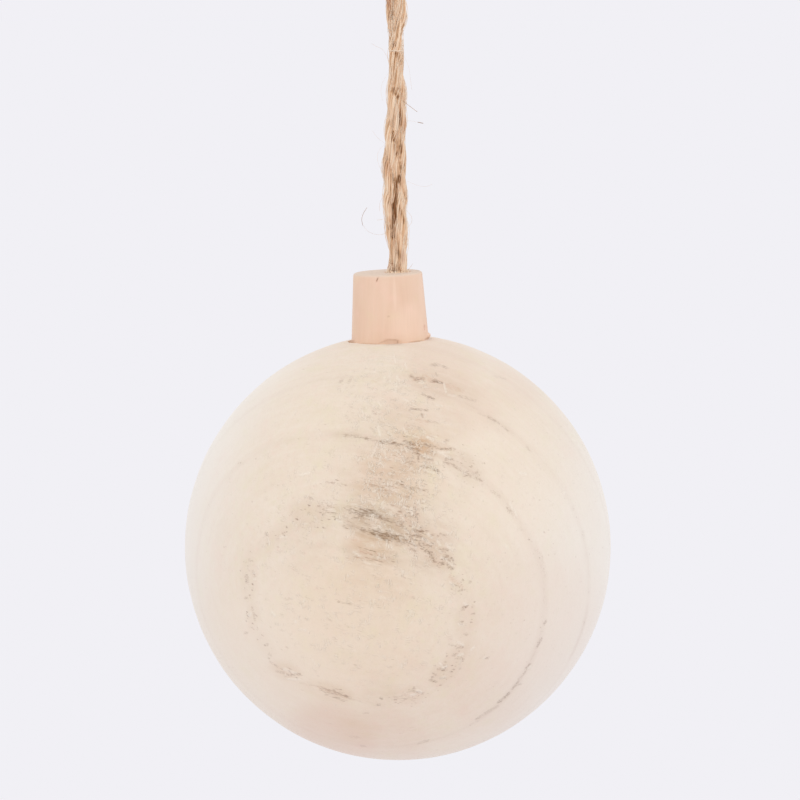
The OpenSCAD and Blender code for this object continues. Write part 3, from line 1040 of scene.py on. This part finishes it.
# Damage and stains on the cap's wall, each as how deep it goes or how strong it is, degrees right
# of the front, height above the foot, half its width and height, and its clockwise tilt
CAP_DENTS = [
    (0.2, -17.7, 11.9, 0.12, 0.45, 25), (0.25, 68, 2.3, 0.3, 0.5, 0), (0.12, 3, 0.25, 1.7, 0.5, 4),
    (0.2, 11.5, 0.2, 0.16, 0.4, 0), (-0.45, 82, 0.7, 0.9, 0.4, 0), (-0.75, -78, 0.08, 1.3, 0.2, 0),
]
CAP_HOLLOWS = [
    (0.5, -17.7, 11.9, 0.1, 0.42, 25), (0.35, 68, 2.3, 0.22, 0.5, 0), (0.25, 11.5, 0.2, 0.14, 0.36, 0),
]
CAP_STAINS = [
    (0.3, -9, 0.5, 1.1, 0.13, -18), (0.35, 4, 0.75, 1.1, 0.12, 6), (0.15, 3, 0.3, 1.6, 0.45, 4),
    (0.22, -0.7, 5.1, 0.25, 0.18, 0), (0.5, 76, 0.2, 1.6, 0.16, 0), (0.45, 43, 0.05, 1.9, 0.14, 0),
    (0.65, -78, 0.08, 1.6, 0.3, 0), (0.35, -30, 0.05, 2.6, 0.1, 0),
]
CAP_PALES = [
    (0.45, 10.4, 9.2, 0.3, 3.2, 0), (0.55, 38, 3.5, 3.6, 3.6, 0), (0.5, 72, 7, 1.6, 5.5, 0),
]


def wall_strengths(points, ovals):
    """How strongly soft-edged ovals on the cap's wall cover points of the cap's own frame."""
    around = np.degrees(np.arctan2(points[:, 0], -points[:, 1]))
    radius = np.hypot(points[:, 0], points[:, 1])
    up = points[:, 2] + CAP_H
    outside = (radius > SPIGOT_R + 0.1) & (up > -0.01)
    total = np.zeros(len(points))
    for strength, middle, height, half_w, half_h, tilt in ovals:
        over = np.radians((around - middle + 180) % 360 - 180) * radius
        share = strength * oval_cover(over, height - up, half_w, half_h, tilt)
        total = np.where(np.abs(share) > np.abs(total), share, total)
    return total * outside


def make_cap(material):
    angles = 2 * math.pi * np.arange(CAP_STEPS) / CAP_STEPS
    points, faces = turned_skin(cap_rings(), angles, closed=True)
    marks = {
        "hollow": wall_strengths(points, CAP_HOLLOWS),
        "stained": wall_strengths(points, CAP_STAINS),
        "pale": wall_strengths(points, CAP_PALES),
        # Painted shade on the end grain of the top and rim
        "end_grain_shade": smooth((points[:, 2] + CAP_RIM_R) / CAP_RIM_R),
    }
    inward = -points * (1, 1, 0)
    inward /= np.maximum(np.linalg.norm(inward, axis=1), 0.001)[:, None]
    points = points + inward * wall_strengths(points, CAP_DENTS)[:, None]
    cap = new_object("turned_cap", hung(points), faces, material, marks)
    finish_turned(cap)
    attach(cap, "root")
    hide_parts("cap")


# ---------------------------------------------------------------- cord's line


def leg_at(direction, height):
    angle = math.radians(direction)
    return (LEG_PITCH / 2 * math.cos(angle), LEG_PITCH / 2 * math.sin(angle), height)


def leg(turn):
    """One leg of the cord from the spigot's end up to the eye, above the hole's mouth."""
    direction = WOUND_LEG[0][1] + turn
    inside = leaned([leg_at(direction, z) for z in [SPIGOT_END] + BORE_LEG])
    wound = [leg_at(d + turn, z) + np.array((drift, 0, 0)) for z, d, drift in WOUND_LEG]
    cos, sin = math.cos(math.radians(turn)), math.sin(math.radians(turn))
    eye = [(x * cos - y * sin, x * sin + y * cos, z) for x, y, z in EYE_LEG]
    return np.concatenate([inside, wound, eye])


def cord_route():
    return np.concatenate([leg(0), [EYE_TOP], leg(180)[::-1]])


def unit(v):
    return v / np.linalg.norm(v, axis=-1, keepdims=True)


def curve(points, headings, steps):
    """A smooth curve through points, with a heading at each, in steps for each span."""
    line = []
    for a, b, start, end in zip(points, points[1:], headings, headings[1:]):
        chord = np.linalg.norm(b - a)
        for t in np.arange(steps) / steps:
            near = (2 * t**3 - 3 * t**2 + 1) * a + (t**3 - 2 * t**2 + t) * chord * start
            far = (3 * t**2 - 2 * t**3) * b + (t**3 - t**2) * chord * end
            line.append(near + far)
    return np.array([*line, points[-1]])


def smooth_line(route, steps):
    """The smooth curve of part.scad through the route's points."""
    inward = leaned([(0, 0, 1)])
    return curve(route, np.concatenate([inward, unit(route[2:] - route[:-2]), -inward]), steps)


def curve_through(points, steps):
    """A smooth curve through the few points of a loose fibre."""
    return curve(points, unit(np.gradient(points, axis=0)), steps)


def arc_lengths(line):
    return np.concatenate([[0], np.cumsum(np.linalg.norm(np.diff(line, axis=0), axis=1))])


def even_line(line, step):
    """The line again, with its points about one step apart."""
    arc = arc_lengths(line)
    stops = np.linspace(0, arc[-1], round(arc[-1] / step) + 1)
    return np.stack([np.interp(stops, arc, part) for part in line.T], axis=1)


def line_frames(line):
    """Two directions square to the line at each point, which turn no more than they have to."""
    tangents = unit(np.gradient(line, axis=0))
    side = np.cross((0, 1, 0), tangents[0])
    sides = []
    for tangent in tangents:
        side = unit(side - np.dot(side, tangent) * tangent)
        sides.append(side)
    sides = np.array(sides)
    return sides, np.cross(tangents, sides)


# ---------------------------------------------------------------- fibres


class Strands:
    """Collects round strands into one mesh, with a tone at each point."""

    def __init__(self):
        self.points, self.faces, self.tones = [], [], []

    def add(self, line, radius, tone, sides=4):
        """A strand along a line. Its radius and tone are numbers or one value for each point."""
        first, rings = len(self.points), len(line)
        radius = np.broadcast_to(radius, rings)
        tone = np.broadcast_to(tone, rings)
        side, front = line_frames(line)
        for i in range(rings):
            for k in range(sides):
                a = 2 * math.pi * k / sides
                self.points.append(
                    line[i] + radius[i] * (math.cos(a) * side[i] + math.sin(a) * front[i])
                )
                self.tones.append(tone[i])
        for i in range(rings - 1):
            for k in range(sides):
                a = first + i * sides + k
                b = first + i * sides + (k + 1) % sides
                self.faces.append((a, b, b + sides, a + sides))
        last = first + (rings - 1) * sides
        self.faces.append(tuple(first + k for k in reversed(range(sides))))
        self.faces.append(tuple(last + k for k in range(sides)))

    def paint(self, strokes, change):
        """Painted shade and painted highlights: darker or lighter tones where the camera sees the strokes.
        """
        shares = stroke_strengths(np.array(self.points), strokes)
        self.tones = (np.array(self.tones) + change * shares).tolist()

    def make(self, name, material, rusts=()):
        marks = {"tone": self.tones, "rust": oval_strengths(np.array(self.points), rusts)}
        piece = new_object(name, self.points, self.faces, material, marks)
        piece.data.shade_smooth()
        return piece


def wander(arc, reach, seed):
    """Smooth noise along the cord, from about -1 to 1, that changes over the given reach."""
    return np.array([noise.noise((a / reach, 17.3 * seed, 0.5)) for a in arc])


CORD_STEP = 0.5
PLY_OFFSET = 0.33
PLY_R = 0.82
CORD_LAY = 14.0
FIBRE_LAY = 24.0
STRANDS_PER_PLY = 14
THIN_PER_PLY = 16
CORE_R = 0.7
# The ply's core is dark: painted shade deep inside it
CORE_SHADE_TONE = 0.28
FIBRE_R = 0.17
THIN_R = 0.042
# How far the legs' fibres press towards each other, and the heights where they do
PRESS = 0.16
PRESSED = (-1.0, 60.0)
# Dark strands between the legs, painted shade where they meet
FILLERS = 5
FILLER_R = 0.34
FILLER_RING_R = 0.3


def outward(angle, side, front):
    """Directions at angles from side towards front, one for each point of a line."""
    return np.cos(angle)[:, None] * side + np.sin(angle)[:, None] * front


def ply_line(line, side, front, arc, ply):
    """The middle of one ply, which winds about the cord's middle as a left-handed helix."""
    angle = math.pi * ply - 2 * math.pi * arc / CORD_LAY + 0.9 * wander(arc, 14, 1)
    return line + PLY_OFFSET * outward(angle, side, front)


def fibre_line(ply, side, front, arc, start, depth):
    """A strand of one ply, which winds the other way, so that it lies nearly straight."""
    angle = start + 2 * math.pi * arc / FIBRE_LAY
    return ply + depth[:, None] * outward(angle, side, front)


def pair_middle(heights):
    """The middle of the pair of legs at heights above the hole's mouth."""
    at, _, drift = zip(*WOUND_LEG)
    return np.interp(heights, at, drift)


def pressed(line):
    """The line moved towards the other leg, where the two lie side by side."""
    above = line[:, 2] + MOUTH_DROP
    low, high = PRESSED
    share = smooth((above - low) / 2) * smooth((high - above) / 4)
    inward = np.stack([pair_middle(above) - line[:, 0], -line[:, 1], 0 * above], axis=1)
    return line + PRESS * share[:, None] * unit(inward)


def filler_line(k):
    """A dark strand deep between the legs: painted shade in the gap."""
    above = np.arange(PRESSED[0], PRESSED[1], CORD_STEP)
    angle = 2 * math.pi * k / FILLERS + above / 6
    x = pair_middle(above) + FILLER_RING_R * np.cos(angle)
    return np.stack([x, FILLER_RING_R * np.sin(angle), above - MOUTH_DROP], axis=1)


# Painted shade where the twine's fibres lie deep and dark, and painted highlights where they are pale, as
# strokes
TWINE_SHADE_STROKES = {
    0.6: [
        (0.4, 398, 53, 400, 58), (0.3, 397, 58, 400, 63),
    ],
    0.8: [
        (0.35, 388, 8, 389, 18), (0.55, 393, 12, 395, 16), (0.3, 397, 20, 397, 30), (0.4, 394, 27, 394, 31),
        (0.3, 398, 32, 398, 37), (0.35, 404, 24, 401, 36), (0.6, 395, 52, 398, 58), (0.3, 391, 64, 392, 70),
        (0.25, 395, 60, 395, 72), (0.35, 394, 75, 394, 83), (0.3, 394, 116, 394, 120),
        (0.25, 391, 120, 392, 130), (0.25, 386, 148, 386, 153), (0.25, 388, 146, 389, 153),
        (0.4, 391, 173, 393, 182), (0.45, 401, 185, 404, 192), (0.5, 399, 205, 402, 214),
        (0.5, 403, 216, 404, 221), (0.3, 397, 236, 398, 243), (0.35, 398, 243, 399, 252),
        (0.3, 400, 258, 400, 264), (0.55, 399, 266, 400, 271),
    ],
    1: [
        (0.5, 397, 88, 400, 90), (0.45, 388, 163, 390, 169), (0.45, 389, 170, 390, 176),
        (0.45, 398, 168, 398, 176), (0.6, 397, 183, 395, 189), (0.55, 404, 192, 406, 198),
        (0.55, 399, 252, 400, 258),
    ],
    1.2: [
        (0.5, 388, -3, 389, 8), (0.3, 394, 40, 394, 49), (0.8, 395, 93, 398, 97), (0.3, 401, 110, 401, 125),
        (0.8, 393, 132, 393, 139), (0.4, 400, 140, 401, 146), (0.65, 400, 147, 401, 152),
        (0.45, 397, 154, 399, 158), (0.6, 395, 190, 396, 199),
    ],
    1.4: [
        (0.5, 393, 90, 395, 93), (0.5, 400, 163, 401, 168), (0.65, 395, 216, 394, 222),
        (0.6, 393, 232, 393, 237),
    ],
    1.6: [
        (1, 399, 177, 398, 182), (0.8, 393, 204, 394, 209), (1, 395, 208, 395, 217),
        (0.5, 388, 219, 391, 222), (0.25, 389, 186, 390, 204),
    ],
    1.8: [
        (0.8, 396, 200, 396, 204), (0.65, 391, 226, 394, 229),
    ],
    2: [
        (0.3, 387, 158, 388, 182), (0.25, 403, 166, 403, 182),
    ],
}
TWINE_HIGHLIGHT_STROKES = {
    0.8: [
        (0.7, 391, 51, 400, 51),
    ],
    1: [
        (0.35, 391, 20, 393, 36), (0.4, 394, 34, 396, 40), (0.35, 389, 60, 390, 84),
        (0.3, 392, 90, 393, 100), (0.3, 397, 208, 399, 218), (0.35, 397, 246, 397, 262),
    ],
    1.2: [
        (0.6, 401, 38, 404, 39), (0.35, 394, 100, 395, 112), (0.3, 388, 100, 389, 122),
        (0.4, 389, 143, 393, 154), (0.35, 388, 246, 389, 260),
    ],
    1.4: [
        (0.4, 397, 108, 397, 122), (0.35, 386, 178, 388, 200), (0.5, 399, 218, 399, 231),
        (0.4, 405, 205, 405, 216), (0.4, 401, 236, 403, 254), (0.45, 403, 256, 403, 267),
    ],
    1.6: [
        (0.3, 397, 125, 397, 138), (0.5, 393, 154, 395, 174), (0.4, 386, 204, 388, 224),
        (0.5, 391, 258, 391, 268),
    ],
    1.8: [
        (0.6, 394, 240, 395, 266),
    ],
    2: [
        (0.7, 400, 189, 403, 206),
    ],
}
# How much the painted shade darkens and the painted highlights lighten the tone
SHADE_TONE = -0.75
HIGHLIGHT_TONE = 0.40
# Where its fibres are reddish, as ovals
TWINE_RUSTS = [
    (0.75, 386, -8, 391, 9, 0), (0.4, 402, 116, 407, 132, 0), (0.4, 384, 160, 391, 178, 0),
    (0.45, 401, 250, 406, 264, 0), (0.5, 386, 263, 394, 272, 0),
]
MOUTH_FIBRES = 44


def mouth_fibre(k):
    """A loose fibre that comes out of the hole's mouth beside the legs."""
    angle = 2 * math.pi * (k + 0.7 * random.random()) / MOUTH_FIBRES
    cos, sin = math.cos(angle), math.sin(angle)
    top = 0.05 + 0.3 * random.random()
    stops = [(2.1, -1.8), (2.25, -0.5), (2.1 - 0.5 * random.random(), top)]
    return [(r * cos, r * sin, z) for r, z in stops]


def add_fillers(strands):
    """Dark strands that close the gap between the legs: painted shade where the legs meet."""
    for k in range(FILLERS):
        filler = filler_line(k)
        tone = 0.30 + 0.15 * wander(arc_lengths(filler), 5, 70 + k)
        strands.add(filler, FILLER_R, tone, sides=6)


def add_ply(strands, ply, middle, side, front, arc):
    """One of the cord's two plies: a dark core, painted shade deep inside it, thick fibres on it and thin
    loose ones.
    """
    strands.add(middle, CORE_R, CORE_SHADE_TONE, sides=8)
    for k in range(STRANDS_PER_PLY):
        seed = 100 * ply + k + 3
        thick = FIBRE_R + 0.08 * wander(arc, 9, seed)
        depth = PLY_R - thick * 0.9 + 0.12 * wander(arc, 6, seed + 40)
        start = 2 * math.pi * (k + 0.6 * random.random()) / STRANDS_PER_PLY
        start = start + 0.6 * wander(arc, 12, seed + 80)
        tone = 0.50 + 0.32 * random.random() + 0.35 * wander(arc, 7, seed + 120)
        strands.add(fibre_line(middle, side, front, arc, start, depth), thick, tone)
    for k in range(THIN_PER_PLY):
        seed = 300 * (ply + 1) + k
        start = 2 * math.pi * random.random() + 1.6 * wander(arc, 13, seed)
        loose = 0.24 * (k % 3 == 0)
        depth = PLY_R + 0.03 + loose + 0.18 * wander(arc, 6, seed + 40)
        tone = 0.8 + 0.4 * random.random()
        strands.add(fibre_line(middle, side, front, arc, start, depth), THIN_R, tone, sides=3)


def add_mouth_fibres(strands):
    """Loose fibres that fill the hole's mouth around the legs."""
    for k in range(MOUTH_FIBRES):
        fibre = even_line(curve_through(np.array(mouth_fibre(k)) - (0, 0, MOUTH_DROP), 4), 0.4)
        strands.add(fibre, 0.12 + 0.06 * random.random(), 0.6 + 0.4 * random.random())


def make_cord(material):
    line = even_line(smooth_line(cord_route(), 16), CORD_STEP)
    line = line - (0, 0, MOUTH_DROP)
    arc = arc_lengths(line)
    side, front = line_frames(line)
    strands = Strands()
    add_fillers(strands)
    tube = pressed(line)
    for ply in range(2):
        add_ply(strands, ply, ply_line(tube, side, front, arc, ply), side, front, arc)
    add_mouth_fibres(strands)
    # Painted shade in the twine's deep places and painted highlights on its pale strands
    strands.paint(TWINE_SHADE_STROKES, SHADE_TONE)
    strands.paint(TWINE_HIGHLIGHT_STROKES, HIGHLIGHT_TONE)
    cord = strands.make("jute_twine", material, TWINE_RUSTS)
    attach(cord, "root")
    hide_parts("hanging_cord")


# Stray fibres that stand off the twine, each as radius, tone and points right of, in front of
# and above the hole's mouth
STRAYS = [
    (0.045, 0.2, [(1.0, 2.2, 31.8), (2.0, 2.1, 31.0), (3.6, 2.0, 29.8)]),
    (0.070, 0.1, [(3.7, 2.0, 27.9), (4.2, 2.0, 27.8), (4.7, 2.0, 27.7)]),
    (0.016, 0.3, [(-1.8, 0.6, 7.4), (-3.4, 1.4, 7.0), (-5.4, 1.9, 7.6), (-6.5, 2.0, 8.8)]),
    (0.042, 0.1, [(-6.5, 2.0, 8.8), (-6.7, 2.0, 9.9), (-6.4, 1.9, 11.0), (-5.7, 1.8, 12.1)]),
    (0.024, 0.4, [(-2.2, 0.4, 9.9), (-3.0, 0.8, 9.8), (-3.9, 1.0, 9.7)]),
    (0.120, 1.6, [(-1.4, 1.7, 41.0), (-0.5, 2.1, 41.05), (0.1, 2.1, 41.0), (0.8, 1.9, 41.05)]),
    (0.040, 0.6, [(-1.5, 0.3, 1.6), (-1.9, 0.5, 0.9), (-1.9, 0.7, 0.2)]),
    (0.100, 0.9, [(-1.3, 1.0, 1.4), (-1.6, 1.1, 0.6), (-1.7, 1.1, 0.0)]),
    (0.080, 1.0, [(-1.5, 0.7, 0.9), (-1.8, 0.8, 0.4), (-1.9, 0.8, 0.0)]),
    (0.090, 0.8, [(-1.0, 1.4, 1.1), (-1.2, 1.6, 0.5), (-1.3, 1.6, 0.0)]),
    (0.024, 0.4, [(1.9, 0.4, 0.4), (2.4, 0.7, 1.0), (2.8, 0.8, 1.6)]),
    (0.016, 0.5, [(-1.6, 0.6, 39.0), (-2.8, 1.0, 41.2), (-4.0, 1.2, 41.8), (-4.9, 1.2, 42.4)]),
    (0.014, 0.5, [(1.6, 1.6, 28.2), (2.6, 1.9, 28.1), (3.7, 2.0, 27.9)]),
    (0.013, 0.5, [(-1.7, 1.0, 37.0), (-2.8, 1.2, 35.2), (-3.1, 1.2, 33.4), (-2.8, 1.2, 31.8)]),
    (0.013, 0.5, [(1.2, 1.0, 40.0), (2.0, 1.2, 38.0), (2.3, 1.2, 36.0), (2.6, 1.2, 33.8)]),
    (0.013, 0.5, [(-2.2, 0.8, 24.0), (-3.6, 1.2, 22.4), (-3.7, 1.2, 20.6), (-2.8, 1.1, 18.4)]),
    (0.013, 0.4, [(-2.2, 0.8, 23.8), (-3.6, 1.0, 24.8), (-4.7, 1.1, 26.2)]),
    (0.018, 0.3, [(-2.3, 1.2, 14.8), (-3.3, 1.3, 12.9), (-3.4, 1.3, 11.4)]),
    (0.022, 0.4, [(1.6, 1.2, 11.6), (2.5, 1.3, 10.4), (2.6, 1.3, 9.4), (1.8, 1.2, 8.2)]),
    (0.012, 0.5, [(1.7, 1.4, 17.0), (3.6, 1.7, 16.2), (5.2, 1.8, 16.0), (6.4, 1.8, 16.4)]),
]


def make_hairs(material):
    strands = Strands()
    for radius, tone, points in STRAYS:
        line = np.array([(x, -y, z - MOUTH_DROP) for x, y, z in points])
        strands.add(even_line(curve_through(line, 6), 0.3), radius, tone, sides=3)
    piece = strands.make("stray_fibres", material)
    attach(piece, "root")
    return piece


# ---------------------------------------------------------------- floor and light

BACKDROP = rgb(241, 240, 245)
WHITE = (1, 1, 1, 1)
FLOOR_DROP = 900.0
FLOOR_HALF_M = 45.0
SKY_LEVEL = 0.93
SUN_ENERGY = 0.38
SUN_ANGLE = math.radians(40)
SUN_ELEVATION = math.radians(35)
SUN_AZIMUTH = math.radians(8)


def make_floor():
    n = Nodes(bpy.data.materials.new("pale_floor"))
    material = n.finish(Base_Color=BACKDROP, Roughness=0.9, Specular_IOR_Level=0.0)
    half = FLOOR_HALF_M / MM
    corners = [(x * half, y * half, -FLOOR_DROP) for x, y in ((-1, -1), (1, -1), (1, 1), (-1, 1))]
    new_object("floor", corners, [(0, 1, 2, 3)], material)


def make_world():
    """White light from all sides. Camera, glossy and transmission rays see the backdrop instead."""
    world = bpy.data.worlds.new("studio")
    bpy.context.scene.world = world
    n = Nodes(world)
    camera = n.add("LightPath", {}, "Is Camera Ray")
    seen = n.strongest(
        camera, camera.beside("Is Glossy Ray"), camera.beside("Is Transmission Ray")
    )
    light = n.add("Background", {"Color": WHITE, "Strength": SKY_LEVEL})
    pale = n.add("Background", {"Color": BACKDROP})
    n.add("OutputWorld", {"Surface": n.add("MixShader", {0: seen, 1: light, 2: pale})})


def make_sun():
    sun = bpy.data.lights.new("soft_sun", "SUN")
    sun.energy = SUN_ENERGY
    sun.angle = SUN_ANGLE
    lamp = bpy.data.objects.new("soft_sun", sun)
    lamp.rotation_euler = (math.pi / 2 - SUN_ELEVATION, 0, SUN_AZIMUTH)
    bpy.context.scene.collection.objects.link(lamp)


# ---------------------------------------------------------------- the whole


def main():
    random.seed(1976)
    bpy.context.scene.view_settings.view_transform = "Standard"
    make_camera()
    twine = twine_fibre("jute")
    hairs = make_hairs(twine)
    make_cord(twine)
    make_ball(ball_wood())
    make_cap(cap_wood())
    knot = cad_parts["stopper_knot"]
    knot.data.materials.clear()
    knot.data.materials.append(twine_fibre("knotted_jute"))
    make_world()
    make_sun()
    make_floor()


main()
